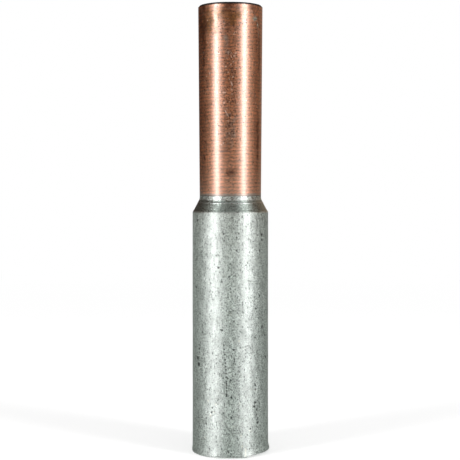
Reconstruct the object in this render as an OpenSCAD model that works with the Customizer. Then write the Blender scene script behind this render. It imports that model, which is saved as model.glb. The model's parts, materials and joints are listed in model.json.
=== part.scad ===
// Bimetallic connector sleeve: an aluminium barrel and a copper barrel, friction-welded end to end.
// Each barrel has a blind bore for its own conductor. The sleeve stands on its aluminium mouth,
// with the origin at the centre of that mouth and +Z along the axis, towards the copper mouth.

/* [Aluminium barrel] */
// Outside diameter of the straight aluminium barrel
al_od = 20; // [18:0.5:28]
// Length of the straight barrel, from its mouth to the foot of the shoulder
al_len = 63; // [40:1:110]
// Diameter of the bore for the aluminium conductor
al_bore_d = 13; // [9:0.5:15]
// Solid aluminium left between the point of the bore and the weld
al_web = 5; // [2:0.5:12]

/* [Copper barrel] */
// Outside diameter at the weld
cu_root_od = 16.25; // [14.5:0.25:17.5]
// Outside diameter at the mouth, where the drawn tube is a little wider
cu_mouth_od = 17.05; // [14.5:0.05:19]
// Length of the copper barrel, from the weld to its mouth
cu_len = 50.2; // [30:0.2:90]
// Diameter of the bore for the copper conductor
cu_bore_d = 12; // [8:0.5:13]
// Solid copper left between the point of the bore and the weld
cu_web = 3; // [1.5:0.5:10]

/* [Shoulder] */
// Length of the turned cone between the two outside diameters, along the axis
shoulder_len = 3.4; // [2:0.1:8]
// Length of the aluminium collar that is turned down to the copper's diameter
collar_len = 0.9; // [0.5:0.1:4]
// Radius that blends the straight barrel into the cone
shoulder_round = 2.2; // [0.5:0.1:4]
// Radius in the corner between the cone and the collar
collar_fillet = 1.2; // [0.3:0.1:3]

/* [Mouths] */
// Chamfer inside each mouth, which leads the strands in
lead_in = 0.6; // [0.2:0.1:1.2]
// Chamfer on the outer edge of the copper mouth
cu_edge = 0.4; // [0.1:0.1:0.8]
// How far the sawn aluminium edge is rolled outwards
lip_out = 0.17; // [0.05:0.01:0.4]
// Height over which the rolled edge runs back to the barrel
lip_height = 1.8; // [1:0.1:4]
// Radius that blends the rolled edge into the straight barrel
lip_blend = 12; // [4:1:20]
// Radius on the outer edge of the aluminium mouth
al_edge = 0.35; // [0.1:0.05:0.6]
// Full angle of the drill point at the end of each bore, in degrees
drill_angle = 118; // [90:1:135]

/* [Hidden] */
$fn = 180;

// Short way that a cutting tool stands out past the face that it cuts
overcut = 1;
// Straight steps in each rounded corner
corner_steps = 6;

al_r = al_od / 2;
lip_r = al_r + lip_out;
cu_root_r = cu_root_od / 2;
cu_mouth_r = cu_mouth_od / 2;

shoulder_top = al_len + shoulder_len;
weld_z = shoulder_top + collar_len;
mouth_z = weld_z + cu_len;

// Length of the drill point under a bore of diameter d
function point_len(d) = d / 2 / tan(drill_angle / 2);

al_bore_len = weld_z - al_web - point_len(al_bore_d);
cu_bore_len = cu_len - cu_web - point_len(cu_bore_d);

function unit(v) = v / norm(v);

// Points of an arc of radius r that rounds the corner b between a and c, kept within the two sides
function rounded(a, b, c, r) =
    let (
        u = unit(a - b),
        v = unit(c - b),
        half = acos(u * v) / 2,
        reach = min(r / tan(half), 0.45 * min(norm(a - b), norm(c - b))),
        arc_r = reach * tan(half),
        centre = b + unit(u + v) * arc_r / sin(half),
        from = b + u * reach - centre,
        to = b + v * reach - centre
    )
    [for (i = [0 : corner_steps])
        centre + arc_r * unit(from * (corner_steps - i) + to * i)];

// Half outline of the aluminium barrel's outside, from the mouth up to the weld
function al_outline() =
    let (
        lip_edge = [lip_r, 0],
        lip_top = [al_r, lip_height],
        foot = [al_r, al_len],
        neck = [cu_root_r, shoulder_top],
        weld_rim = [cu_root_r, weld_z]
    )
    concat(
        [[0, 0]],
        rounded([0, 0], lip_edge, lip_top, al_edge),
        rounded(lip_edge, lip_top, foot, lip_blend),
        rounded(lip_top, foot, neck, shoulder_round),
        rounded(foot, neck, weld_rim, collar_fillet),
        [weld_rim, [0, weld_z]]
    );

// Half outline of the copper barrel's outside, from the weld up to the mouth
function cu_outline() = [
    [0, weld_z],
    [cu_root_r, weld_z],
    [cu_mouth_r, mouth_z - cu_edge],
    [cu_mouth_r - cu_edge, mouth_z],
    [0, mouth_z]
];

// Cutting tool for a blind bore: its mouth is at z = 0 and it runs up to a drill point
module blind_bore(d, len) {
    r = d / 2;
    rotate_extrude()
        polygon([
            [0, -overcut],
            [r + lead_in + overcut, -overcut],
            [r, lead_in],
            [r, len],
            [0, len + point_len(d)]
        ]);
}

// Lower barrel with its rolled mouth, the turned shoulder and the collar that meets the copper
module aluminium_barrel() {
    color("#A9B2AD")
        difference() {
            rotate_extrude()
                polygon(al_outline());
            blind_bore(al_bore_d, al_bore_len);
        }
}

// Upper barrel, welded to the collar, with its bore open at the top
module copper_barrel() {
    color("#A86A4A")
        difference() {
            rotate_extrude()
                polygon(cu_outline());
            translate([0, 0, mouth_z])
                mirror([0, 0, 1])
                    blind_bore(cu_bore_d, cu_bore_len);
        }
}

aluminium_barrel();
copper_barrel();
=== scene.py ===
"""Looks of the bimetallic connector sleeve: a drawn aluminium barrel below, a turned copper barrel above.

Both barrels are revolved meshes with the wear of the real ones: an uneven sawn mouth, dents, rows of
pits, scratches and the marks that the turning tool left. Shapes are worked out in millimetres, and a
mesh is written in metres. A place on the front wall is given as (across, height): how far it lies to
the right of the axis, seen from the front, and how far above the aluminium mouth.
"""

import json
import math

import bpy
import numpy as np
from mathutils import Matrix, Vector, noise


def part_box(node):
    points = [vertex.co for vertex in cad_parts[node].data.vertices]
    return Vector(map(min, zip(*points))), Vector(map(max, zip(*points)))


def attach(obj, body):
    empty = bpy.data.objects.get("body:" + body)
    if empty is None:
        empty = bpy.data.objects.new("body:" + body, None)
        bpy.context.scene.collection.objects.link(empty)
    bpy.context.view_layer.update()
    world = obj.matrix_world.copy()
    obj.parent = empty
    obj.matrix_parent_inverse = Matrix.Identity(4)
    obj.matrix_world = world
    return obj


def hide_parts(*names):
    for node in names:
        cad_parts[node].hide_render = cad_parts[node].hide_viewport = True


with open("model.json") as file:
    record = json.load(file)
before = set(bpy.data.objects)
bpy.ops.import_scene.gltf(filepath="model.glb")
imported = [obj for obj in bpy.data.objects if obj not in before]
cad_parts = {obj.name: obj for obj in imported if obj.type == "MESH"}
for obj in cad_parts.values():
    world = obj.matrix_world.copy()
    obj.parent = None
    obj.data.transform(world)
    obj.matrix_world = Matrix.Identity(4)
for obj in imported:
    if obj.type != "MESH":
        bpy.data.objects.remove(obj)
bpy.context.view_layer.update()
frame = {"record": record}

MM = 0.001

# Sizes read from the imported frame
CU_LOW, CU_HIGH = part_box("copper_barrel")
BORES = {mount["name"]: mount["dims"] for mount in frame["record"]["mounts"]}
AL_BORE_R = BORES["aluminium_bore"]["r_mm"]
CU_BORE_R = BORES["copper_bore"]["r_mm"]
WELD_Z = CU_LOW.z / MM
MOUTH_Z = CU_HIGH.z / MM
CU_MOUTH_R = CU_HIGH.x / MM

# Turned shoulder, from the foot of its cone to the weld. The corner at the foot is nearly sharp
AL_R = 10.0
CU_ROOT_R = 8.125
FOOT_Z = 63.0
SHOULDER_TOP = 66.4
SHOULDER_ROUND = 0.25
COLLAR_FILLET = 1.2

# Mouths and the ends of the bores
LIP_OUT = 0.17
LIP_HEIGHT = 1.8
LIP_BLEND = 12.0
AL_EDGE = 0.2
LEAD_IN = 0.6
CU_EDGE = 0.4
AL_WEB = 5.0
CU_WEB = 3.0
DRILL_HALF_ANGLE = math.radians(59)
AL_BORE_TIP = WELD_Z - AL_WEB
CU_BORE_TIP = WELD_Z + CU_WEB

# Mesh density: points round each barrel, how much closer they stand at the front than at its sides, and
# the step between rings on its wall, on finer stretches, on the sawn face and in the bore. A corner
# that turns by more than the crease angle is shaded sharp
AL_SIDES = 260
CU_SIDES = 300
FRONT_CROWDING = 0.4
WALL_STEP = 0.22
FINE_STEP = 0.12
FACE_STEP = 0.5
BORE_STEP = 3.0
CREASE = math.radians(32)

# Sawn aluminium mouth: how far the cut rises off the floor, as (degrees from the front, lift), how
# rough it is over what length, how far up the wall this fades, and how high painted shade darkens the
# edge
SAW_CUT = (
    (-180, 0.05), (-110, 0.0), (-50, 0.0), (-40, 0.03), (-30, 0.16), (-20, 0.36), (-12, 0.3), (6, 0.32),
    (10, 0.24), (18, 0.28), (25, 0.16), (29, 0.42), (48, 0.56), (80, 0.62), (130, 0.2), (180, 0.05),
)
SAW_ROUGHNESS = 0.04
SAW_TOOTH = 1.1
SAW_FADE = 3.5
EDGE_SHADE_HEIGHT = 1.7

# Burr that the saw pushed out on the right of the mouth, in degrees from the front and in millimetres
BURR_AT = 82.0
BURR_SPREAD = 34.0
BURR_OUT = 0.2
BURR_HEIGHT = 1.15

# Marks of the turning tool, as (height, how far out, width): the ridge under the collar, the groove in
# the collar, the slight hollow of the cone and the line scribed near its foot
RIDGE_Z = 65.53
TOOL_MARKS = ((RIDGE_Z, 0.07, 0.18), (66.5, -0.03, 0.18), (64.3, -0.02, 0.5), (63.75, -0.03, 0.18))

# Metal that the tool left in the corner of the collar: its height, how far out and half its width
FILLED_Z = 66.35
FILLED_OUT = 0.065
FILLED_HALF = 0.75

# Aluminium wear. A row of pits that a toothed jaw left runs down the front, at these heights
JAW_ROW = (29.2, 28.1, 26.8, 25.5, 24.6, 23.7, 22.9, 21.9, 21.0, 19.9, 19.3, 18.8, 18.2, 17.5, 16.6, 16.1)
JAW_ROW_FOOT = 16.1
JAW_ROW_TALL = 13.1
JAW_ROW_ACROSS = -0.95
JAW_ROW_LEAN = -0.75
JAW_PIT = 0.2

# Dark pits, as (across, height, size)
AL_PITS = (
    (6.47, 18.5, 0.25), (6.5, 17.4, 0.27), (6.34, 14.1, 0.27), (6.55, 14.0, 0.2), (6.1, 13.1, 0.25),
    (6.3, 13.0, 0.2), (6.86, 12.1, 0.25), (6.86, 10.8, 0.2), (7.1, 9.9, 0.22), (7.0, 8.7, 0.27),
    (7.15, 8.9, 0.22), (-0.64, 20.7, 0.2), (-8.5, 25.2, 0.4), (-8.2, 23.6, 0.48), (-8.0, 27.7, 0.26),
    (-6.3, 21.8, 0.18), (-6.4, 23.9, 0.14), (0.25, 15.8, 0.26), (0.1, 20.2, 0.22), (-1.68, 11.7, 0.18),
    (0.25, 10.6, 0.22), (-4.7, 12.9, 0.22), (-4.9, 11.7, 0.24), (-6.25, 8.6, 0.2), (-6.2, 10.0, 0.16),
    (-8.2, 4.7, 0.2), (5.15, 7.5, 0.2), (-0.5, 1.6, 0.2), (-5.4, 2.2, 0.2), (8.2, 33.2, 0.3),
    (8.25, 33.6, 0.26), (6.4, 30.8, 0.22), (9.0, 31.0, 0.3), (9.2, 25.2, 0.36), (0.85, 28.0, 0.24),
    (0.9, 35.2, 0.2), (1.0, 25.6, 0.2), (1.0, 25.0, 0.18), (-2.1, 33.0, 0.26), (-2.5, 33.1, 0.18),
    (6.6, 38.3, 0.24), (7.6, 41.5, 0.24), (-7.9, 36.8, 0.22), (-7.3, 32.1, 0.22), (7.6, 53.3, 0.24),
    (7.6, 52.9, 0.18), (-1.75, 57.7, 0.22), (-1.6, 56.0, 0.18), (1.6, 53.4, 0.22), (-3.1, 49.0, 0.24),
    (-0.35, 46.7, 0.22), (8.1, 57.3, 0.3), (8.2, 56.0, 0.3), (1.6, 56.8, 0.2), (2.15, 57.8, 0.2),
    (-2.2, 45.4, 0.2), (3.0, 62.0, 0.2), (-8.6, 61.0, 0.3), (-8.9, 43.5, 0.3), (-8.7, 51.0, 0.24),
)

# Scratches as paths of (across, height), painted glints on dings as (across, height, size), dents as
# (across, height, size, depth), and a pale smear beside the mouth
AL_SCRATCHES = (
    ((2.57, 28.3), (4.65, 28.9), (5.6, 27.8), (6.0, 27.0)),
    ((-1.4, 9.3), (-0.95, 8.6), (-0.57, 7.6), (0.4, 6.7)),
    ((-2.75, 17.0), (-1.4, 16.6), (-1.75, 19.0)),
    ((7.9, 32.4), (8.35, 33.9)),
    ((-7.9, 24.6), (-6.6, 24.6)),
    ((5.13, 18.3), (5.65, 17.2)),
    ((-2.2, 6.5), (-1.3, 6.3)),
    ((0.95, 26.4), (1.05, 24.4)),
    ((-2.4, 33.0), (-1.9, 33.0)),
    ((-6.9, 19.6), (-6.5, 17.6)),
)
AL_PAINTED_GLINTS = (
    (3.03, 3.1, 0.22), (2.75, 5.9, 0.18), (-3.75, 13.9, 0.16), (-5.75, 14.6, 0.2), (-5.15, 10.9, 0.22),
    (-4.3, 11.8, 0.16), (2.4, 14.1, 0.16), (-6.5, 5.0, 0.18), (4.97, 7.0, 0.16), (2.24, 30.2, 0.2),
)
AL_DENTS = (
    (-5.2, 12.0, 1.3, 0.05), (-4.6, 14.6, 1.0, 0.04), (6.9, 11.5, 1.1, 0.05), (-1.4, 22.0, 1.2, 0.04),
    (3.8, 30.5, 1.5, 0.04), (-7.4, 33.0, 1.6, 0.05), (5.8, 44.0, 1.7, 0.05), (-3.0, 52.0, 1.5, 0.03),
)
PALE_SMEAR = ((3.85, 0.3), (3.95, 2.4))
SMEAR_WIDTH = 0.2

# Copper wear: pits and dings with painted glints as (across, height, size), scratches and hairlines as
# paths
CU_PITS = (
    (0.15, 100.2, 0.2), (1.15, 99.2, 0.22), (0.75, 97.7, 0.24), (-0.2, 92.0, 0.18), (-0.25, 88.1, 0.22),
    (-0.2, 86.2, 0.2), (-1.1, 101.6, 0.16), (-5.1, 112.2, 0.24), (-5.3, 113.4, 0.16), (-4.7, 112.6, 0.14),
    (-3.5, 109.4, 0.14), (-2.95, 108.2, 0.14), (-1.9, 108.1, 0.16), (-5.3, 106.4, 0.18),
    (-5.3, 105.6, 0.16), (-5.6, 83.2, 0.18), (-6.6, 81.3, 0.2), (-6.2, 78.1, 0.22), (-6.85, 77.2, 0.26),
    (6.85, 70.7, 0.26), (0.5, 95.6, 0.16), (6.9, 90.1, 0.18), (0.6, 84.2, 0.2), (-0.1, 82.8, 0.18),
)
CU_GLINTING_DINGS = (
    (-0.2, 115.8, 0.18), (-1.65, 112.0, 0.2), (-0.3, 111.7, 0.16), (-1.7, 110.9, 0.18),
    (-5.45, 114.7, 0.16), (-6.9, 104.7, 0.2), (-0.65, 104.4, 0.18), (0.95, 103.5, 0.2),
    (7.1, 110.3, 0.16), (7.2, 109.6, 0.16), (7.2, 108.9, 0.16), (7.0, 106.1, 0.18), (-5.3, 99.2, 0.2),
    (-5.85, 94.9, 0.18), (0.15, 96.8, 0.16), (0.35, 94.9, 0.2), (-1.7, 91.4, 0.18),
    (6.5, 93.4, 0.16), (6.6, 91.5, 0.16), (7.05, 90.5, 0.2),
)
CU_SCRATCHES = (((-1.4, 89.4), (-0.6, 88.0)), ((-1.95, 94.1), (-1.2, 94.1)), ((0.2, 96.8), (0.5, 95.9)))
CU_HAIRLINES = (((-2.7, 78.9), (0.0, 78.9)), ((1.3, 76.6), (4.4, 76.6)))

# Patches on the copper, as (across, height, half width, half height, strength): golden heat stains, thin
# grey and greenish films, brown tarnish with painted shade in the tall brown patches down the left and
# right sides, and clusters of specks
HEAT_STAINS = (
    (0.4, 113.4, 2.4, 3.2, 1.0), (-1.4, 114.6, 1.6, 2.6, 0.9), (2.1, 113.8, 1.0, 2.2, 0.9),
    (-5.4, 112.6, 1.9, 4.4, 0.9), (-3.2, 114.4, 1.4, 2.8, 0.8), (0.2, 108.6, 1.6, 1.4, 0.3),
    (3.6, 115.8, 1.6, 1.4, 0.7), (-4.5, 108.6, 1.4, 2.2, 0.5), (-3.9, 110.8, 1.5, 3.0, 0.6),
    (-6.8, 112.6, 1.2, 3.0, 0.9), (0.4, 73.2, 2.4, 2.4, 0.5),
)
GREY_FILMS = (
    (0.2, 84.0, 2.2, 6.5, 0.55), (-0.6, 81.0, 1.6, 3.5, 0.4),
    (-1.2, 107.7, 0.8, 2.2, 0.75), (-0.6, 104.4, 0.8, 1.0, 0.6), (-3.6, 109.4, 0.2, 0.4, 0.9),
)
GREEN_FILMS = ((6.3, 113.4, 1.1, 0.8, 1.0), (7.0, 111.8, 0.6, 1.5, 0.9), (7.2, 109.6, 0.3, 1.2, 0.7))
TARNISH_AND_SIDE_SHADE = (
    (-0.4, 116.9, 2.3, 2.1, 0.85), (-6.9, 116.6, 1.6, 2.4, 0.85), (-7.3, 112.8, 1.2, 4.4, 0.9),
    (-7.0, 110.0, 0.7, 5.0, 1.0), (-6.9, 103.0, 0.6, 6.0, 0.8), (-7.6, 112.0, 1.4, 5.0, 1.0),
    (-6.6, 109.5, 1.3, 6.0, 0.8), (-7.0, 100.0, 0.8, 6.0, 0.5), (0.2, 73.4, 1.8, 2.2, 0.75),
    (-1.2, 115.6, 1.2, 1.2, 0.7), (1.0, 111.0, 1.4, 0.8, 0.6), (5.8, 116.2, 2.4, 1.2, 0.7),
    (7.5, 104.0, 1.1, 11.0, 0.8), (7.3, 82.0, 1.1, 12.0, 0.9), (-0.6, 111.0, 0.9, 2.6, 0.6),
    (0.4, 100.6, 1.8, 3.2, 0.4), (0.0, 84.6, 1.2, 3.0, 0.5), (6.4, 114.4, 1.6, 2.4, 0.4),
)
SPECKLED = (
    (0.4, 103.4, 1.9, 2.4, 0.9), (0.4, 99.0, 2.0, 3.2, 1.0), (0.0, 93.4, 1.9, 3.0, 1.0),
    (-0.1, 87.2, 1.6, 3.2, 0.9), (0.3, 82.6, 1.6, 2.4, 0.9), (-6.6, 103.2, 1.1, 4.0, 0.9),
    (-1.5, 111.4, 1.3, 3.4, 0.9), (1.2, 109.6, 1.4, 2.0, 0.7), (-5.2, 112.4, 1.0, 1.6, 0.7),
    (-6.3, 97.0, 1.0, 3.0, 0.6), (-6.7, 84.0, 1.0, 6.0, 0.6), (6.8, 108.6, 0.8, 4.0, 0.6),
)

# Depth of the pits and scratches, the share of it that a pit has on the copper, and a scratch's width
PIT_DEPTH = 0.06
CU_PIT_SHARE = 0.6
SCRATCH_DEPTH = 0.03
SCRATCH_WIDTH = 0.14
CU_SCRATCH_WIDTH = 0.12

# Slow waves of the walls, as (depth, length across, how many times as tall, seed): the aluminium's broad
# and short ones, of which its turned end keeps a fifth, and the copper's
BROAD_WAVES = (0.032, 4.2, 2.2, 0.0)
SHORT_WAVES = (0.011, 1.4, 2.4, 9.0)
TURNED_END_SHARE = 0.2
CU_WAVES = (0.006, 4.0, 3.0, 2.0)

# How far the lathe tool moved along the copper in a turn, and how deep it left its rings
FEED = 0.93
FEED_DEPTH = 0.003

# Marks scattered by chance: pits on the sides and the back, which the front's own marks leave free, and
# fine nicks and painted glints on the front. These are ranges of degrees and of sizes, how many marks
# there are and how strong they are beside the front's own
SIDES_AND_BACK = (70, 290)
FRONT = (-70, 70)
CHANCE_PIT = (0.1, 0.24)
NICK = (0.08, 0.15)
AL_SCATTER = 150
CU_SCATTER = 90
AL_NICKS = 170
AL_GLINTS = 110
NICK_SHARE = 0.5
GLINT_SHARE = 0.7


def unit(vector):
    return vector / np.linalg.norm(vector)


def rounded(before, corner, after, radius, steps=6):
    """Points of an arc that rounds one corner of an outline, as (radius, height) pairs."""
    before, corner, after = (np.array(p, float) for p in (before, corner, after))
    u = unit(before - corner)
    v = unit(after - corner)
    half = math.acos(float(u @ v)) / 2
    longest = 0.45 * min(np.linalg.norm(before - corner), np.linalg.norm(after - corner))
    reach = min(radius / math.tan(half), longest)
    arc_r = reach * math.tan(half)
    centre = corner + unit(u + v) * arc_r / math.sin(half)
    start = corner + u * reach - centre
    end = corner + v * reach - centre
    return [centre + arc_r * unit(start * (steps - i) + end * i) for i in range(steps + 1)]


def resampled(points, step):
    """The same outline with points no further apart than a step; its corners stay."""
    made = [np.array(points[0], float)]
    for point in points[1:]:
        start = made[-1]
        way = np.array(point, float) - start
        count = max(1, math.ceil(np.linalg.norm(way) / step))
        made += [start + way * i / count for i in range(1, count + 1)]
    return made


def aluminium_outline():
    """Half section of the aluminium barrel, from the weld down the outside and up the bore."""
    weld_rim = (CU_ROOT_R, WELD_Z)
    neck = (CU_ROOT_R, SHOULDER_TOP)
    foot = (AL_R, FOOT_Z)
    lip_top = (AL_R, LIP_HEIGHT)
    lip_edge = (AL_R + LIP_OUT, 0)
    shoulder = [weld_rim]
    shoulder += rounded(weld_rim, neck, foot, COLLAR_FILLET)
    shoulder += rounded(neck, foot, lip_top, SHOULDER_ROUND)
    lip = rounded(foot, lip_top, lip_edge, LIP_BLEND)
    lip += rounded(lip_top, lip_edge, (0, 0), AL_EDGE)
    wall = [shoulder[-1], lip[0]]
    face = [lip[-1], (AL_BORE_R + LEAD_IN, 0), (AL_BORE_R, LEAD_IN)]
    bore_end = AL_BORE_TIP - AL_BORE_R / math.tan(DRILL_HALF_ANGLE)
    bore = [face[-1], (AL_BORE_R, bore_end)]
    return (
        resampled(shoulder, FINE_STEP)
        + resampled(wall, WALL_STEP)[1:]
        + resampled(lip, FINE_STEP)[1:]
        + resampled(face, FACE_STEP)[1:]
        + resampled(bore, BORE_STEP)[1:]
    )


def copper_outline():
    """Half section of the copper barrel, from the weld up the outside and down the bore."""
    edge_low = (CU_MOUTH_R, MOUTH_Z - CU_EDGE)
    edge_top = (CU_MOUTH_R - CU_EDGE, MOUTH_Z)
    wall = [(CU_ROOT_R, WELD_Z), edge_low]
    face = [edge_low, edge_top, (CU_BORE_R + LEAD_IN, MOUTH_Z), (CU_BORE_R, MOUTH_Z - LEAD_IN)]
    bore_end = CU_BORE_TIP + CU_BORE_R / math.tan(DRILL_HALF_ANGLE)
    bore = [face[-1], (CU_BORE_R, bore_end)]
    return (
        resampled(wall, WALL_STEP)
        + resampled(face, FINE_STEP)[1:]
        + resampled(bore, BORE_STEP)[1:]
    )


def revolved(outline, sides):
    """Points of the revolved outline in millimetres, ring after ring, angle 0 at the front."""
    even = np.arange(sides) * 2 * math.pi / sides
    angles = even - FRONT_CROWDING * np.sin(even)
    rings = [
        np.stack([r * np.sin(angles), -r * np.cos(angles), np.full(sides, z)], axis=1)
        for r, z in outline
    ]
    return np.concatenate(rings)


def barrel(name, outline, sides, poles, points, marks):
    """Closed mesh of a barrel: its rings, and a point on the axis at the weld and at the drill's tip."""
    count = len(outline)
    weld_pole = len(points)
    tip_pole = weld_pole + 1
    corners = np.concatenate([points, [[0, 0, poles[0]], [0, 0, poles[1]]]])
    faces = []
    for i in range(sides):
        j = (i + 1) % sides
        faces.append((weld_pole, i, j))
        faces.append((tip_pole, (count - 1) * sides + j, (count - 1) * sides + i))
        faces += [
            (k * sides + i, (k + 1) * sides + i, (k + 1) * sides + j, k * sides + j)
            for k in range(count - 1)
        ]
    # The copper's outline runs up, so its faces are turned over to look outwards
    if poles[1] > poles[0]:
        faces = [tuple(reversed(face)) for face in faces]
    mesh = bpy.data.meshes.new(name)
    mesh.from_pydata((corners * MM).tolist(), [], faces)
    mesh.shade_smooth()
    mesh.set_sharp_from_angle(angle=CREASE)
    for mark, values in marks.items():
        layer = mesh.attributes.new(mark, "FLOAT", "POINT")
        layer.data.foreach_set("value", np.append(values, [0, 0]).astype(np.float32))
    made = bpy.data.objects.new(name, mesh)
    bpy.context.scene.collection.objects.link(made)
    return made


def wander(points, cell, stretch=1.0, seed=0.0):
    """Smooth noise from -1 to 1 at each point; its cells are cell across and stretch times as tall."""
    scaled = points / [cell, cell, cell * stretch] + seed
    return np.array([noise.noise(p) for p in scaled])


def waves(points, depth, cell, stretch, seed):
    """Relief of slow waves, in millimetres."""
    return depth * wander(points, cell, stretch, seed)


def on_wall(across, height, wall):
    """The point of the front wall at that place; wall is the barrel's radius there."""
    return np.array([across, -math.sqrt(wall**2 - across**2), height])


def spots(points, places, wall):
    """1 at the middle of each spot, falling smoothly to 0 past its size."""
    found = np.zeros(len(points))
    for across, height, size in places:
        away = np.linalg.norm(points - on_wall(across, height, wall), axis=1)
        found = np.maximum(found, np.exp(-((away / size) ** 2)))
    return found


def patches(points, places, wall):
    """The strength of each patch at its middle, falling smoothly to 0 past its half sizes."""
    found = np.zeros(len(points))
    for across, height, wide, tall, strength in places:
        away = (points - on_wall(across, height, wall)) / [wide, wide, tall]
        found = np.maximum(found, strength * np.exp(-(away**2).sum(axis=1)))
    return found


def lines(points, paths, wall, width=SCRATCH_WIDTH):
    """1 along each path, falling smoothly to 0 past the width."""
    found = np.zeros(len(points))
    for path in paths:
        for (x0, z0), (x1, z1) in zip(path, path[1:]):
            start = on_wall(x0, z0, wall)
            along = on_wall(x1, z1, wall) - start
            t = np.clip((points - start) @ along / (along @ along), 0, 1)
            away = np.linalg.norm(points - (start + t[:, None] * along), axis=1)
            found = np.maximum(found, np.exp(-((away / width) ** 2)))
    return found


def scattered(points, count, heights, wall, seed, turned=SIDES_AND_BACK, size=CHANCE_PIT):
    """Pits spread at random over part of the way round, as deep as chance makes them."""
    dice = np.random.default_rng(seed)
    found = np.zeros(len(points))
    turns = np.radians(dice.uniform(*turned, count))
    places = dice.uniform(*heights, count)
    sizes = dice.uniform(*size, count)
    depths = dice.uniform(0.2, 1.0, count)
    for turn, height, size, depth in zip(turns, places, sizes, depths):
        centre = np.array([wall * math.sin(turn), -wall * math.cos(turn), height])
        away = np.linalg.norm(points - centre, axis=1)
        found = np.maximum(found, depth * np.exp(-((away / size) ** 2)))
    return found


def pushed_out(points, relief):
    """The points moved off the axis by the relief, in millimetres."""
    out = points.copy()
    radius = np.hypot(points[:, 0], points[:, 1])
    out[:, :2] *= (1 + relief / np.maximum(radius, 1))[:, None]
    return out


def jaw_row():
    """The row of pits that leans to the left as it runs up."""
    places = []
    for height in JAW_ROW:
        up = (height - JAW_ROW_FOOT) / JAW_ROW_TALL
        places.append((JAW_ROW_ACROSS + JAW_ROW_LEAN * up**2, height, JAW_PIT))
    return places


def turning_marks(height):
    """The turning tool's ridge, grooves and hollow, and the metal it left in the collar's corner."""
    relief = sum(out * np.exp(-(((height - z) / width) ** 2)) for z, out, width in TOOL_MARKS)
    return relief + FILLED_OUT * np.clip(1 - np.abs(height - FILLED_Z) / FILLED_HALF, 0, 1)


def from_front(points):
    """Each point's angle round the axis in degrees, 0 at the front and 90 on the right."""
    return np.degrees(np.arctan2(points[:, 0], -points[:, 1]))


def sawn_lift(points):
    """How far the uneven saw cut lifts each point near the mouth."""
    turns, lifts = zip(*SAW_CUT)
    lift = np.interp(from_front(points), turns, lifts)
    lift += SAW_ROUGHNESS * (1 + wander(points, SAW_TOOTH, seed=4.0)) / 2
    return lift * np.clip(1 - points[:, 2] / SAW_FADE, 0, 1)


def burr(points):
    """How far the saw pushed the mouth's right side out."""
    round_about = np.exp(-(((from_front(points) - BURR_AT) / BURR_SPREAD) ** 2))
    return BURR_OUT * round_about * np.exp(-((points[:, 2] / BURR_HEIGHT) ** 2))


def aluminium_barrel():
    outline = aluminium_outline()
    points = revolved(outline, AL_SIDES)
    height = points[:, 2]
    radius = np.hypot(points[:, 0], points[:, 1])
    outside = radius > AL_BORE_R + LEAD_IN + FACE_STEP
    plain = height < FOOT_Z

    pits = spots(points, jaw_row() + list(AL_PITS), AL_R)
    pits = np.maximum(pits, scattered(points, AL_SCATTER, (2, FOOT_Z - 1), AL_R, seed=11))
    nicks = scattered(points, AL_NICKS, (1, FOOT_Z), AL_R, seed=12, turned=FRONT, size=NICK)
    pits = np.maximum(pits, NICK_SHARE * nicks) * outside
    # Painted highlights: pale spots for the glints of dings and fine glints on the front, laid together
    # with the pale smear beside the mouth
    glints = scattered(points, AL_GLINTS, (1, FOOT_Z), AL_R, seed=13, turned=FRONT, size=NICK)
    cuts = lines(points, AL_SCRATCHES, AL_R) * outside
    smear = lines(points, [PALE_SMEAR], AL_R, SMEAR_WIDTH)
    bright = np.maximum(spots(points, AL_PAINTED_GLINTS, AL_R), GLINT_SHARE * smear)
    bright = np.maximum(bright, GLINT_SHARE * glints) * outside

    # Relief: broad and short waves from drawing, dents, the marks above, tool marks and the burr
    relief = waves(points, *BROAD_WAVES) + waves(points, *SHORT_WAVES)
    relief *= np.where(plain, 1.0, TURNED_END_SHARE)
    for across, place, size, depth in AL_DENTS:
        relief -= depth * spots(points, [(across, place, size)], AL_R)
    relief -= PIT_DEPTH * pits + SCRATCH_DEPTH * cuts
    relief += turning_marks(height) + burr(points)
    out = pushed_out(points, relief * outside)
    out[:, 2] += sawn_lift(points)
    marks = {"pits": pits, "cuts": cuts, "bright": bright, "bored": 1.0 - outside}
    return barrel("drawn_aluminium_barrel", outline, AL_SIDES, (WELD_Z, AL_BORE_TIP), out, marks)


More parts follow.
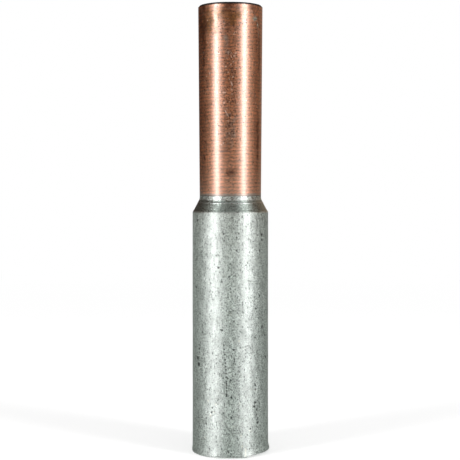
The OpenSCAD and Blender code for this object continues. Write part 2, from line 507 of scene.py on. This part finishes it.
def copper_barrel():
    outline = copper_outline()
    points = revolved(outline, CU_SIDES)
    height = points[:, 2]
    radius = np.hypot(points[:, 0], points[:, 1])
    outside = radius > CU_MOUTH_R - CU_EDGE - FINE_STEP / 2
    outside |= height < MOUTH_Z - 2 * LEAD_IN
    outside &= radius > CU_BORE_R + FINE_STEP
    wall = (CU_ROOT_R + CU_MOUTH_R) / 2

    pits = spots(points, CU_PITS, wall)
    chance_pits = scattered(points, CU_SCATTER, (WELD_Z + 1, MOUTH_Z - 2), wall, seed=5)
    pits = np.maximum(pits, chance_pits) * outside
    # Painted highlights: the dings and the scratches are drawn pale, over their grooves in the relief
    scratches = lines(points, CU_SCRATCHES, wall, CU_SCRATCH_WIDTH)
    bright = np.maximum(spots(points, CU_GLINTING_DINGS, wall), scratches) * outside
    cuts = lines(points, CU_HAIRLINES, wall, CU_SCRATCH_WIDTH) * outside
    # Painted shade: the chamfer round the mouth is drawn near black
    scorched = outside * (height > MOUTH_Z - CU_EDGE - FINE_STEP / 2)

    # Relief: slow waves, the rings of the lathe tool, and the marks above
    relief = waves(points, *CU_WAVES)
    relief += FEED_DEPTH * np.sin(height * 2 * math.pi / FEED)
    relief -= CU_PIT_SHARE * PIT_DEPTH * pits + SCRATCH_DEPTH * (bright + cuts)
    out = pushed_out(points, relief * outside * (height < MOUTH_Z - 2 * CU_EDGE))
    marks = {
        "pits": pits, "bright": bright, "cuts": cuts, "bored": 1.0 - outside, "scorched": scorched,
        "stained": patches(points, HEAT_STAINS, wall), "film": patches(points, GREY_FILMS, wall),
        "brown": patches(points, TARNISH_AND_SIDE_SHADE, wall), "speckled": patches(points, SPECKLED, wall),
        "green": patches(points, GREEN_FILMS, wall),
    }
    return barrel("turned_copper_barrel", outline, CU_SIDES, (WELD_Z, CU_BORE_TIP), out, marks)


def colour(code):
    """A hex sRGB colour as linear RGBA."""
    parts = [int(code[i : i + 2], 16) / 255 for i in (1, 3, 5)]
    return [p / 12.92 if p <= 0.04045 else ((p + 0.055) / 1.055) ** 2.4 for p in parts] + [1.0]


def add(tree, kind, settings=None, inputs=None):
    """Adds a node, sets its properties, and sets or joins its inputs by name or number."""
    made = tree.nodes.new(kind)
    for name, value in (settings or {}).items():
        setattr(made, name, value)
    for name, value in (inputs or {}).items():
        if isinstance(value, bpy.types.NodeSocket):
            tree.links.new(value, made.inputs[name])
        else:
            made.inputs[name].default_value = value
    return made


# Numbers of the Mix node's colour sockets, and its settings for laying a colour over and for shading
MIX_A = 6
MIX_B = 7
MIX_OUT = 2
OVER = {"data_type": "RGBA"}
SHADE = {"data_type": "RGBA", "blend_type": "MULTIPLY"}
SMOOTH = {"interpolation_type": "SMOOTHSTEP"}


def new_material(name):
    """A material, its empty tree, and its coordinates in millimetres."""
    made = bpy.data.materials.new(name)
    made.use_nodes = True
    tree = made.node_tree
    tree.nodes.clear()
    place = add(tree, "ShaderNodeTexCoord").outputs["Object"]
    in_mm = add(tree, "ShaderNodeVectorMath", {"operation": "SCALE"}, {0: place, "Scale": 1 / MM})
    return made, tree, in_mm.outputs["Vector"]


# Patterns of the drawn aluminium, as (mm across, how many times as tall): its grain, clouds of it and
# broad patches. The real grain is too fine to show, so it is drawn as coarse as it needs. Its pores lie
# in cells of this size, and the relief of all this is this deep in mm
AL_GRAIN = (0.26, 0.95)
AL_CLOUDS = (1.1, 2.4)
AL_BROAD = (5.0, 1.6)
PORE_CELL = 0.45
PORE_TALL = 2
AL_RELIEF = 0.044

# How rough the aluminium is, from the grain's dark flecks to its pale ones, and how much smoother the
# tool left the cone and the collar. The skin of oxide over it has the IOR of aluminium oxide
AL_ROUGH = (0.19, 0.7)
TURNED_SMOOTHER = 0.11
AL_OXIDE = {"Coat Weight": 1.0, "Coat Roughness": 0.4, "Coat IOR": 1.77}


def drawn_aluminium():
    """Cold-drawn aluminium tube that has lain in the open: a dull greenish-grey oxide, mottled along
    the drawing direction and finely pitted, so its highlights are broad and broken at their edges."""
    made, tree, place = new_material("drawn aluminium, dull and pitted")
    height = add(tree, "ShaderNodeSeparateXYZ", inputs={0: place}).outputs["Z"]
    pits, cuts, bright, bored = (
        add(tree, "ShaderNodeAttribute", {"attribute_name": mark}).outputs["Fac"]
        for mark in ("pits", "cuts", "bright", "bored")
    )

    # Each pattern shades the metal between two strengths; the larger ones are drawn out along the barrel
    grain, clouds, broad = (
        add(
            tree, "ShaderNodeTexNoise", {},
            {
                "Vector": add(
                    tree, "ShaderNodeVectorMath", {"operation": "DIVIDE"}, {0: place, 1: (1, 1, tall)}
                ).outputs[0],
                "Scale": 1 / across, "Detail": 2, "Roughness": 0.6,
            },
        ).outputs["Fac"]
        for across, tall in (AL_GRAIN, AL_CLOUDS, AL_BROAD)
    )
    shades = [
        add(
            tree, "ShaderNodeMapRange", {},
            {"Value": pattern, "From Min": 0.3, "From Max": 0.7, "To Min": dark, "To Max": light},
        ).outputs[0]
        for pattern, dark, light in ((grain, 0.46, 1.36), (clouds, 0.8, 1.16), (broad, 0.94, 1.06))
    ]

    # Corrosion pores, each as dark as the dirt it holds, and fewer where a cloud is pale
    drawn = add(tree, "ShaderNodeVectorMath", {"operation": "DIVIDE"}, {0: place, 1: (1, 1, PORE_TALL)})
    cells = add(
        tree, "ShaderNodeTexVoronoi", {},
        {"Vector": drawn.outputs[0], "Scale": 1 / PORE_CELL, "Randomness": 1.0},
    )
    chance = add(tree, "ShaderNodeSeparateColor", inputs={0: cells.outputs["Color"]}).outputs[0]
    hollow = add(
        tree, "ShaderNodeMapRange", SMOOTH,
        {"Value": cells.outputs["Distance"], "From Min": 0.42, "From Max": 0.16},
    ).outputs[0]
    crowded = add(
        tree, "ShaderNodeMath", {"operation": "MULTIPLY_ADD"}, {0: clouds, 1: -1.6, 2: chance}
    ).outputs[0]
    filled = add(
        tree, "ShaderNodeMapRange", {}, {"Value": crowded, "From Min": -0.4, "From Max": 0.0}
    ).outputs[0]
    pores = add(tree, "ShaderNodeMath", {"operation": "MULTIPLY"}, {0: hollow, 1: filled}).outputs[0]
    scored = add(tree, "ShaderNodeMath", {"operation": "MULTIPLY"}, {0: cuts, 1: 0.6}).outputs[0]

    # The turned cone, between its foot and the collar, and the ridge on it. The cone's colour, darker and
    # greener than the wall's, is painted shade for its upward slope, tinted to offset the warm cards it
    # reflects; the ridge's paler line is a painted highlight
    above_foot = add(
        tree, "ShaderNodeMapRange", SMOOTH,
        {"Value": height, "From Min": FOOT_Z + 0.1, "From Max": FOOT_Z + 0.4},
    ).outputs[0]
    turned = add(
        tree, "ShaderNodeMapRange", SMOOTH,
        {
            "Value": height, "From Min": SHOULDER_TOP - 0.05, "From Max": SHOULDER_TOP - 0.3,
            "To Max": above_foot,
        },
    ).outputs[0]
    on_ridge = add(
        tree, "ShaderNodeMath", {"operation": "COMPARE"}, {0: height, 1: RIDGE_Z, 2: 0.1}
    ).outputs[0]
    on_collar = add(
        tree, "ShaderNodeMapRange", SMOOTH,
        {"Value": height, "From Min": SHOULDER_TOP, "From Max": SHOULDER_TOP + 0.2},
    ).outputs[0]
    smoothed = add(tree, "ShaderNodeMath", {"operation": "ADD"}, {0: turned, 1: on_collar}).outputs[0]
    sharp_pits = add(
        tree, "ShaderNodeMapRange", SMOOTH, {"Value": pits, "From Min": 0.15, "From Max": 0.5}
    ).outputs[0]

    # Painted shade: the metal darkens towards the mouth's edge, so that the flared lip does not reflect
    # too brightly
    shades.append(
        add(
            tree, "ShaderNodeMapRange", {},
            {"Value": height, "From Min": 0.0, "From Max": EDGE_SHADE_HEIGHT, "To Min": 0.84},
        ).outputs[0]
    )

    surface = colour("#D6DCD8")
    for shading in shades:
        surface = add(
            tree, "ShaderNodeMix", SHADE, {0: 1.0, MIX_A: surface, MIX_B: shading}
        ).outputs[MIX_OUT]
    # The cone's colour here is painted shade, and the ridge's paler one a painted highlight
    layers = (
        (turned, "#9AA59E"), (on_ridge, "#D2D8D7"), (pores, "#646D67"), (sharp_pits, "#1C211D"),
        # bright: painted glints, with the pale smear beside the mouth
        (scored, "#5F6760"), (bright, "#F4F2E4"), (bored, "#8C908D"),
    )
    for mask, code in layers:
        surface = add(
            tree, "ShaderNodeMix", OVER, {0: mask, MIX_A: surface, MIX_B: colour(code)}
        ).outputs[MIX_OUT]

    # The dark flecks of the grain are the smoother ones, so they show between the highlights, not in them
    drawn_rough = add(
        tree, "ShaderNodeMapRange", {},
        {
            "Value": grain, "From Min": 0.34, "From Max": 0.66,
            "To Min": AL_ROUGH[0], "To Max": AL_ROUGH[1],
        },
    ).outputs[0]
    rough = add(
        tree, "ShaderNodeMath", {"operation": "MULTIPLY_ADD"},
        {0: smoothed, 1: -TURNED_SMOOTHER, 2: drawn_rough},
    ).outputs[0]
    lumps = add(
        tree, "ShaderNodeMath", {"operation": "MULTIPLY_ADD"}, {0: clouds, 1: 0.7, 2: grain}
    ).outputs[0]
    sunk = add(
        tree, "ShaderNodeMath", {"operation": "MULTIPLY_ADD"}, {0: pores, 1: -0.4, 2: lumps}
    ).outputs[0]
    relief = add(
        tree, "ShaderNodeBump", {}, {"Strength": 1.0, "Distance": AL_RELIEF * MM, "Height": sunk}
    ).outputs[0]
    body = add(
        tree, "ShaderNodeBsdfPrincipled", {},
        {
            "Base Color": surface, "Metallic": 1.0, "Roughness": rough, "Normal": relief,
            **AL_OXIDE,
        },
    )
    add(tree, "ShaderNodeOutputMaterial", {}, {"Surface": body.outputs[0]})
    return made


# Patterns of the turned copper in mm across: its grain, which lies along the rings and is half as tall,
# the patches of its tarnish and their ragged edges, and the cells of its specks. The real grain is too
# fine to show, so it is drawn as coarse as it needs. The relief of all this is this deep
CU_GRAIN = 0.5
TARNISH = 4.5
RAGGED = 1.4
SPECK_CELL = 0.38
CU_RELIEF = 0.02

# Rings of the lathe tool: how many cells of the finer ones there are in a millimetre across, through and
# up, how strong the even feed is beside them, and how far and over what length the feed slips
FINE_RINGS = (0.6, 0.6, 4.6)
FEED_SHARE = 0.18
FEED_SLIP = 12.0
SLIP_LENGTH = 9

# How rough the copper is, from the grain's dark flecks to its pale ones, and how much rougher its green
# film is. The skin of oxide over it has about the IOR of copper oxide, which whitens the highlights
CU_ROUGH = (0.32, 0.58)
GREEN_ROUGHER = 0.3
CU_OXIDE = {"Coat Roughness": 0.33, "Coat IOR": 3.0}


def turned_copper():
    """Copper turned on a lathe and handled: fine rings across a semi-bright pinkish brown metal, with
    brown tarnish and painted shade down its sides, a golden heat stain, grey and greenish films near the
    mouth, clusters of specks, painted glints and painted shade on the chamfer of the mouth."""
    made, tree, place = new_material("turned copper, semi-bright and tarnished")
    height = add(tree, "ShaderNodeSeparateXYZ", inputs={0: place}).outputs["Z"]
    pits, bright, cuts, bored, scorched = (
        add(tree, "ShaderNodeAttribute", {"attribute_name": mark}).outputs["Fac"]
        for mark in ("pits", "bright", "cuts", "bored", "scorched")
    )
    stained, film, brown, speckled, green = (
        add(tree, "ShaderNodeAttribute", {"attribute_name": mark}).outputs["Fac"]
        for mark in ("stained", "film", "brown", "speckled", "green")
    )

    # Rings of the lathe tool: the even feed, and finer lines at random drawn coarse enough to show
    drift = add(
        tree, "ShaderNodeTexNoise", {}, {"Vector": place, "Scale": 1 / SLIP_LENGTH, "Detail": 2}
    ).outputs["Fac"]
    slip = add(tree, "ShaderNodeMath", {"operation": "MULTIPLY"}, {0: drift, 1: FEED_SLIP}).outputs[0]
    turns = add(
        tree, "ShaderNodeMath", {"operation": "MULTIPLY_ADD"},
        {0: height, 1: 2 * math.pi / FEED, 2: slip},
    ).outputs[0]
    feed = add(tree, "ShaderNodeMath", {"operation": "SINE"}, {0: turns}).outputs[0]
    flat = add(tree, "ShaderNodeVectorMath", {"operation": "MULTIPLY"}, {0: place, 1: FINE_RINGS})
    rings = add(
        tree, "ShaderNodeTexNoise", {},
        {"Vector": flat.outputs[0], "Scale": 1.0, "Detail": 2, "Roughness": 0.6},
    ).outputs["Fac"]
    ridges = add(
        tree, "ShaderNodeMath", {"operation": "MULTIPLY_ADD"}, {0: feed, 1: FEED_SHARE, 2: rings}
    ).outputs[0]
    ringed = add(
        tree, "ShaderNodeMapRange", {},
        {"Value": ridges, "From Min": 0.3, "From Max": 0.7, "To Min": 0.68, "To Max": 1.18},
    ).outputs[0]

    # Grain that lies along the rings, and ragged tarnish in patches
    lying = add(tree, "ShaderNodeVectorMath", {"operation": "MULTIPLY"}, {0: place, 1: (1, 1, 2)})
    grain = add(
        tree, "ShaderNodeTexNoise", {},
        {"Vector": lying.outputs[0], "Scale": 1 / CU_GRAIN, "Detail": 1, "Roughness": 0.5},
    ).outputs["Fac"]
    grainy = add(
        tree, "ShaderNodeMapRange", {},
        {"Value": grain, "From Min": 0.32, "From Max": 0.68, "To Min": 0.56, "To Max": 1.2},
    ).outputs[0]
    tarnish = add(
        tree, "ShaderNodeTexNoise", {},
        {"Vector": place, "Scale": 1 / TARNISH, "Detail": 5, "Roughness": 0.6},
    ).outputs["Fac"]
    browned = add(
        tree, "ShaderNodeMapRange", SMOOTH, {"Value": tarnish, "From Min": 0.42, "From Max": 0.68}
    ).outputs[0]
    ragged = add(
        tree, "ShaderNodeTexNoise", {},
        {"Vector": place, "Scale": 1 / RAGGED, "Detail": 4, "Roughness": 0.65},
    ).outputs["Fac"]
    torn = []
    for patch in (stained, film, brown, green):
        deep = add(tree, "ShaderNodeMath", {"operation": "MULTIPLY_ADD"}, {0: ragged, 1: 1.6, 2: patch})
        torn.append(
            add(
                tree, "ShaderNodeMapRange", SMOOTH,
                {"Value": deep.outputs[0], "From Min": 1.05, "From Max": 1.75, "To Max": 0.9},
            ).outputs[0]
        )

    # Specks of about 0.3 mm, each in its cell: dark ones and, less often, bright ones, which are painted
    # glints
    cells = add(
        tree, "ShaderNodeTexVoronoi", {}, {"Vector": place, "Scale": 1 / SPECK_CELL, "Randomness": 1.0}
    )
    chance = add(tree, "ShaderNodeSeparateColor", inputs={0: cells.outputs["Color"]})
    shrunk = add(
        tree, "ShaderNodeMath", {"operation": "MULTIPLY_ADD"},
        {0: chance.outputs[2], 1: 0.3, 2: cells.outputs["Distance"]},
    ).outputs[0]
    dot = add(
        tree, "ShaderNodeMapRange", SMOOTH, {"Value": shrunk, "From Min": 0.68, "From Max": 0.45}
    ).outputs[0]
    crowd = add(
        tree, "ShaderNodeMapRange", {}, {"Value": speckled, "To Min": 0.04, "To Max": 0.85}
    ).outputs[0]
    dark_here = add(
        tree, "ShaderNodeMath", {"operation": "LESS_THAN"}, {0: chance.outputs[0], 1: crowd}
    ).outputs[0]
    dark = add(tree, "ShaderNodeMath", {"operation": "MULTIPLY"}, {0: dot, 1: dark_here}).outputs[0]
    specks = add(tree, "ShaderNodeMath", {"operation": "MULTIPLY"}, {0: dark, 1: 0.85}).outputs[0]
    sparse = add(tree, "ShaderNodeMath", {"operation": "MULTIPLY"}, {0: crowd, 1: 0.12}).outputs[0]
    light_here = add(
        tree, "ShaderNodeMath", {"operation": "LESS_THAN"}, {0: chance.outputs[1], 1: sparse}
    ).outputs[0]
    glints = add(tree, "ShaderNodeMath", {"operation": "MULTIPLY"}, {0: dot, 1: light_here}).outputs[0]

    # Aluminium smeared over the copper at the weld, and the dark line of the weld itself
    creep = add(
        tree, "ShaderNodeMath", {"operation": "MULTIPLY_ADD"}, {0: ragged, 1: -1.6, 2: height}
    ).outputs[0]
    smeared = add(
        tree, "ShaderNodeMapRange", SMOOTH,
        {"Value": creep, "From Min": WELD_Z + 0.1, "From Max": WELD_Z - 0.5, "To Max": 0.8},
    ).outputs[0]
    seam = add(
        tree, "ShaderNodeMapRange", SMOOTH,
        {"Value": height, "From Min": WELD_Z + 0.28, "From Max": WELD_Z + 0.12, "To Max": 0.75},
    ).outputs[0]

    surface = add(
        tree, "ShaderNodeMix", OVER,
        {0: browned, MIX_A: colour("#E0905D"), MIX_B: colour("#CD7C45")},
    ).outputs[MIX_OUT]
    # The brown layer is tarnish, and painted shade where its tall patches run down the sides
    for mask, code in zip(torn, ("#A06A34", "#B9A798", "#824628", "#AEB5A9")):
        surface = add(
            tree, "ShaderNodeMix", OVER, {0: mask, MIX_A: surface, MIX_B: colour(code)}
        ).outputs[MIX_OUT]
    for shading in (ringed, grainy):
        surface = add(
            tree, "ShaderNodeMix", SHADE, {0: 1.0, MIX_A: surface, MIX_B: shading}
        ).outputs[MIX_OUT]
    # glints and bright are painted highlights
    layers = (
        (specks, "#4A2412"), (glints, "#F4D2BC"), (smeared, "#A9A49D"), (seam, "#4A3B33"),
        (cuts, "#5A3626"), (pits, "#24140D"), (bright, "#FFE6D6"), (bored, "#8A5B45"),
        # painted shade on the chamfer round the mouth
        (scorched, "#171210"),
    )
    for mask, code in layers:
        surface = add(
            tree, "ShaderNodeMix", OVER, {0: mask, MIX_A: surface, MIX_B: colour(code)}
        ).outputs[MIX_OUT]

    # Stains, specks, pits and the painted shade on the mouth's chamfer are dull: they take the gloss of
    # the oxide skin away, which is thinner over the dark flecks
    dulled = scorched
    for mask, share in (
        (specks, 0.6), (torn[0], 0.7), (torn[2], 0.7), (torn[3], 0.8), (smeared, 0.6), (pits, 1.0),
    ):
        part = add(tree, "ShaderNodeMath", {"operation": "MULTIPLY"}, {0: mask, 1: share}).outputs[0]
        dulled = add(tree, "ShaderNodeMath", {"operation": "MAXIMUM"}, {0: dulled, 1: part}).outputs[0]
    thick = add(
        tree, "ShaderNodeMapRange", {},
        {"Value": grain, "From Min": 0.32, "From Max": 0.5, "To Min": 0.78, "To Max": 1.0},
    ).outputs[0]
    skin = add(
        tree, "ShaderNodeMapRange", {}, {"Value": dulled, "To Min": thick, "To Max": 0.05}
    ).outputs[0]

    # The dark flecks of the grain are the smoother ones here too
    skin_rough = add(
        tree, "ShaderNodeMapRange", {},
        {
            "Value": grain, "From Min": 0.34, "From Max": 0.66,
            "To Min": CU_ROUGH[0], "To Max": CU_ROUGH[1],
        },
    ).outputs[0]
    rough = add(
        tree, "ShaderNodeMath", {"operation": "MULTIPLY_ADD"},
        {0: torn[3], 1: GREEN_ROUGHER, 2: skin_rough},
    ).outputs[0]
    risen = add(
        tree, "ShaderNodeMath", {"operation": "MULTIPLY_ADD"}, {0: dark, 1: -1.0, 2: ridges}
    ).outputs[0]
    relief = add(
        tree, "ShaderNodeBump", {}, {"Strength": 1.0, "Distance": CU_RELIEF * MM, "Height": risen}
    ).outputs[0]
    body = add(
        tree, "ShaderNodeBsdfPrincipled", {},
        {
            "Base Color": surface, "Metallic": 1.0, "Roughness": rough, "Normal": relief,
            "Coat Weight": skin, **CU_OXIDE,
        },
    )
    add(tree, "ShaderNodeOutputMaterial", {}, {"Surface": body.outputs[0]})
    return made


# Camera, in metres: level with a point nearly two thirds up the sleeve, and two and a half times the
# sleeve's length away. Its frame is shifted down, so that the upright sides stay parallel
EYE_DISTANCE = 0.295
EYE_HEIGHT = 0.074
EYE_ASIDE = -0.0001
LENS = 87.05
SENSOR = 36.0
HORIZON_ABOVE_CENTRE = 0.1296


def make_camera():
    lens = bpy.data.cameras.new("camera")
    lens.lens = LENS
    lens.sensor_width = SENSOR
    lens.shift_y = -HORIZON_ABOVE_CENTRE
    lens.clip_start = 0.01
    made = bpy.data.objects.new("camera", lens)
    made.location = (EYE_ASIDE, -EYE_DISTANCE, EYE_HEIGHT)
    made.rotation_euler = (math.pi / 2, 0, 0)
    bpy.context.scene.collection.objects.link(made)
    bpy.context.scene.camera = made


# Studio, in metres and in degrees from the front: two tall strips, cards that only the metal reflects,
# and a white surround. The strips make the two highlights of each barrel. They lean outwards, so that
# the cone's highlights stay in line with the barrels'
STRIP_LEFT = -49.4
STRIP_RIGHT = 49.7
STRIP_AWAY = 0.8
STRIP_SPREAD = 8.6
STRIP_LEFT_TALL = 0.95
STRIP_RIGHT_TALL = 1.1
STRIP_GLOW = 9.4
STRIP_LEAN = 8.0

# Light along the floor under each strip, which turns inwards close to the sleeve. Its three stretches,
# beside the sleeve, near it and far from it, have these strengths
STRIP_NEAR_LEFT = -39.0
STRIP_NEAR_RIGHT = 38.5
STRIP_FOOT_SPREAD = 14.0
STRIP_FOOT_NEAR = 0.017
LEFT_FOOT_GLOWS = (0.6, 1.8, 1.3)
RIGHT_FOOT_GLOWS = (0.6, 1.7, 0.9)

# Cards: the lower ones run along the floor from their foot out to where they stand, and past the near
# distance they turn outwards. Upright, the cards are in three rows, and between the two last heights
# the upper row darkens to a tenth
CARD_FOOT = 0.0095
CARD_NEAR = 0.035
CARD_AWAY = 0.08
CARD_LIFT = 0.0001
CARD_MIDDLE = 0.026
CARD_CHANGE = 0.066
CARD_HEIGHT = 0.17
CARD_BENDS = 12
CARD_DARKENS = (0.125, 0.165)
CARD_TOP_SHARE = 0.1

# Each card's edges in degrees from the front, and its colour. The lower ones lie on the floor and stand
# beside the aluminium; near the sleeve their inner edges reach further in, as the third and fourth value
# give. The inner cards beside the strips are paler, which widens the dull aluminium's highlights. The
# upper ones are warm beside the copper, which keeps its dark bands a deep brown
LOWER_CARDS = {
    "lower front card": (-26, 28, -25, 27, "#9CA49E"),
    "lower inner left card": (-86, -66, -66, -46, "#B8BEB9"),
    "lower left card": (-170, -86, -170, -66, "#7C827D"),
    "lower inner right card": (66, 84, 46, 64, "#ABB1AC"),
    "lower right card": (84, 170, 64, 170, "#868C87"),
}
MIDDLE_CARDS = {
    "middle front card": (-29, 31, "#B5BDB7"),
    "middle inner left card": (-86, -66, "#C6CCC8"),
    "middle left card": (-170, -86, "#898F8A"),
    "middle inner right card": (66, 84, "#A8AEA9"),
    "middle right card": (84, 170, "#868C87"),
}
UPPER_CARDS = {
    "upper front card": (-35, 34, "#593F2B"),
    "upper left card": (-96, -62, "#665342"),
    "far left card": (-170, -96, "#3C2D24"),
    "upper right card": (64, 92, "#877460"),
    "far right card": (92, 114, "#523C2E"),
    "outer right card": (114, 134, "#8A735E"),
    "back right card": (134, 170, "#998876"),
}

# Grey lid over the strips, which the shoulder's cone reflects over the tops of the cards
LID_HEIGHT = 1.2
LID_HALF = 1.5
LID_COLOUR = "#A6A8A7"

# White surround: how strongly it lights the object, the glow of the floor, half the floor's size, and
# the distances between which the floor runs into the white
WORLD_LIGHT = 0.5
FLOOR_GLOW = 0.45
FLOOR_HALF = 3.0
FLOOR_FADES = (0.12, 0.5)


def strip_light(name, azimuth, tall):
    """A strip that stands on the floor, that many degrees from the front, and leans outwards."""
    lamp = bpy.data.lights.new(name, "AREA")
    lamp.shape = "RECTANGLE"
    lamp.size = 2 * STRIP_AWAY * math.tan(math.radians(STRIP_SPREAD / 2))
    lamp.size_y = tall
    lamp.energy = STRIP_GLOW * math.pi * lamp.size * lamp.size_y
    made = bpy.data.objects.new(name, lamp)
    turn = math.radians(azimuth)
    lean = math.copysign(math.radians(STRIP_LEAN), azimuth)
    aside = tall / 2 * math.sin(lean)
    made.location = (
        STRIP_AWAY * math.sin(turn) + aside * math.cos(turn),
        -STRIP_AWAY * math.cos(turn) + aside * math.sin(turn),
        tall / 2 + CARD_LIFT,
    )
    made.rotation_euler = (math.pi / 2, lean, turn)
    made.visible_camera = False
    bpy.context.scene.collection.objects.link(made)


def reflected_only(made, code, glow=1.0):
    """Makes a card glow in its colour, darker towards its top, and show in reflections alone."""
    paint = bpy.data.materials.new(made.name)
    paint.use_nodes = True
    tree = paint.node_tree
    tree.nodes.clear()
    place = add(tree, "ShaderNodeTexCoord").outputs["Object"]
    height = add(tree, "ShaderNodeSeparateXYZ", inputs={0: place}).outputs["Z"]
    share = add(
        tree, "ShaderNodeMapRange", SMOOTH,
        {
            "Value": height, "From Min": CARD_DARKENS[0], "From Max": CARD_DARKENS[1],
            "To Min": glow, "To Max": glow * CARD_TOP_SHARE,
        },
    ).outputs[0]
    lit = add(tree, "ShaderNodeEmission", {}, {"Color": colour(code), "Strength": share})
    add(tree, "ShaderNodeOutputMaterial", {}, {"Surface": lit.outputs[0]})
    made.data.materials.append(paint)
    bpy.context.scene.collection.objects.link(made)
    for ray in ("camera", "diffuse", "shadow", "transmission", "volume_scatter"):
        setattr(made, "visible_" + ray, False)


def card(name, rows, code, glow=1.0):
    """A card bent round the sleeve; each of its rows is (away, height, left edge, right edge)."""
    corners = [
        (away * math.sin(t), -away * math.cos(t), z)
        for away, z, left, right in rows
        for t in np.radians(np.linspace(left, right, CARD_BENDS + 1))
    ]
    step = CARD_BENDS + 1
    faces = [
        (k * step + i, k * step + i + 1, (k + 1) * step + i + 1, (k + 1) * step + i)
        for k in range(len(rows) - 1)
        for i in range(CARD_BENDS)
    ]
    mesh = bpy.data.meshes.new(name)
    mesh.from_pydata(corners, [], faces)
    reflected_only(bpy.data.objects.new(name, mesh), code, glow)


def cards():
    for name, (left, right, near_left, near_right, code) in LOWER_CARDS.items():
        along_floor = [
            (CARD_FOOT, CARD_LIFT, near_left, near_right), (CARD_NEAR, CARD_LIFT, near_left, near_right),
            (CARD_AWAY, CARD_LIFT, left, right),
        ]
        card(name, along_floor + [(CARD_AWAY, CARD_MIDDLE, left, right)], code)
    for group, low, high in (
        (MIDDLE_CARDS, CARD_MIDDLE, CARD_CHANGE), (UPPER_CARDS, CARD_CHANGE, CARD_HEIGHT),
    ):
        for name, (left, right, code) in group.items():
            card(name, [(CARD_AWAY, z, left, right) for z in (low, high)], code)


def strip_foot(name, azimuth, near_azimuth, glows):
    """Light along the floor under a strip, so that the highlight runs on down to the mouth, in three
    stretches. It is weak right beside the sleeve, where the rolled lip already turns up to the strip."""
    half = STRIP_FOOT_SPREAD / 2
    rows = [
        (away, CARD_LIFT, turn - half, turn + half)
        for away, turn in (
            (CARD_FOOT, near_azimuth), (STRIP_FOOT_NEAR, near_azimuth), (CARD_AWAY, azimuth),
            (STRIP_AWAY, azimuth),
        )
    ]
    for stretch, inner, outer, glow in zip(("beside", "near", "far"), rows, rows[1:], glows):
        card(f"{name}, {stretch}", [inner, outer], "#FFFFFF", glow)


def square(name, half):
    """A flat square mesh, centred, by half its side."""
    mesh = bpy.data.meshes.new(name)
    corners = [(-half, -half, 0), (half, -half, 0), (half, half, 0), (-half, half, 0)]
    mesh.from_pydata(corners, [], [(0, 1, 2, 3)])
    return mesh


def lid(name):
    mesh = square(name, LID_HALF)
    made = bpy.data.objects.new(name, mesh)
    made.location = (0, 0, LID_HEIGHT)
    reflected_only(made, LID_COLOUR)


def seen_directly(tree):
    """1 for rays from the camera and for what metal or glass shows, 0 for light on the object."""
    ray = add(tree, "ShaderNodeLightPath")
    bright = add(
        tree, "ShaderNodeMath", {"operation": "MAXIMUM"},
        {0: ray.outputs["Is Camera Ray"], 1: ray.outputs["Is Glossy Ray"]},
    )
    return add(
        tree, "ShaderNodeMath", {"operation": "MAXIMUM"},
        {0: bright.outputs[0], 1: ray.outputs["Is Transmission Ray"]},
    ).outputs[0]


def white_strength(tree):
    """Strength of the white surround: 1 where it is seen, and less as light on the object."""
    return add(
        tree, "ShaderNodeMapRange", {},
        {"Value": seen_directly(tree), "To Min": WORLD_LIGHT, "To Max": 1.0},
    ).outputs[0]


def make_world():
    world = bpy.data.worlds.new("white surround")
    world.use_nodes = True
    tree = world.node_tree
    tree.nodes.clear()
    sky = add(
        tree, "ShaderNodeBackground", {}, {"Color": (1, 1, 1, 1), "Strength": white_strength(tree)}
    )
    add(tree, "ShaderNodeOutputWorld", {}, {"Surface": sky.outputs[0]})
    bpy.context.scene.world = world


def make_floor():
    """A pale floor that keeps the sleeve's shadow and runs into the white surround further out."""
    mesh = square("floor", FLOOR_HALF)
    made = bpy.data.objects.new("floor", mesh)
    bpy.context.scene.collection.objects.link(made)
    paint = bpy.data.materials.new("white sweep")
    paint.use_nodes = True
    tree = paint.node_tree
    tree.nodes.clear()
    lit = add(tree, "ShaderNodeBsdfDiffuse", {}, {"Color": (0.8, 0.8, 0.8, 1)})
    level = add(
        tree, "ShaderNodeMath", {"operation": "MULTIPLY"}, {0: seen_directly(tree), 1: FLOOR_GLOW}
    )
    glow = add(tree, "ShaderNodeEmission", {}, {"Color": (1, 1, 1, 1), "Strength": level.outputs[0]})
    near = add(tree, "ShaderNodeAddShader", {}, {0: lit.outputs[0], 1: glow.outputs[0]})
    place = add(tree, "ShaderNodeTexCoord").outputs["Object"]
    away = add(tree, "ShaderNodeVectorMath", {"operation": "LENGTH"}, {0: place})
    fade = add(
        tree, "ShaderNodeMapRange", SMOOTH,
        {"Value": away.outputs["Value"], "From Min": FLOOR_FADES[0], "From Max": FLOOR_FADES[1]},
    )
    far = add(
        tree, "ShaderNodeEmission", {}, {"Color": (1, 1, 1, 1), "Strength": white_strength(tree)}
    )
    both = add(
        tree, "ShaderNodeMixShader", {}, {0: fade.outputs[0], 1: near.outputs[0], 2: far.outputs[0]}
    )
    add(tree, "ShaderNodeOutputMaterial", {}, {"Surface": both.outputs[0]})
    mesh.materials.append(paint)


def make_studio():
    make_world()
    make_floor()
    strip_light("left strip", STRIP_LEFT, STRIP_LEFT_TALL)
    strip_light("right strip", STRIP_RIGHT, STRIP_RIGHT_TALL)
    strip_foot("left strip foot", STRIP_LEFT, STRIP_NEAR_LEFT, LEFT_FOOT_GLOWS)
    strip_foot("right strip foot", STRIP_RIGHT, STRIP_NEAR_RIGHT, RIGHT_FOOT_GLOWS)
    cards()
    lid("grey lid")


def make_sleeve():
    lower = aluminium_barrel()
    lower.data.materials.append(drawn_aluminium())
    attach(lower, "root")
    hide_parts("aluminium_barrel")
    upper = copper_barrel()
    upper.data.materials.append(turned_copper())
    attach(upper, "root")
    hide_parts("copper_barrel")


make_camera()
make_sleeve()
make_studio()
bpy.context.scene.view_settings.view_transform = "Standard"
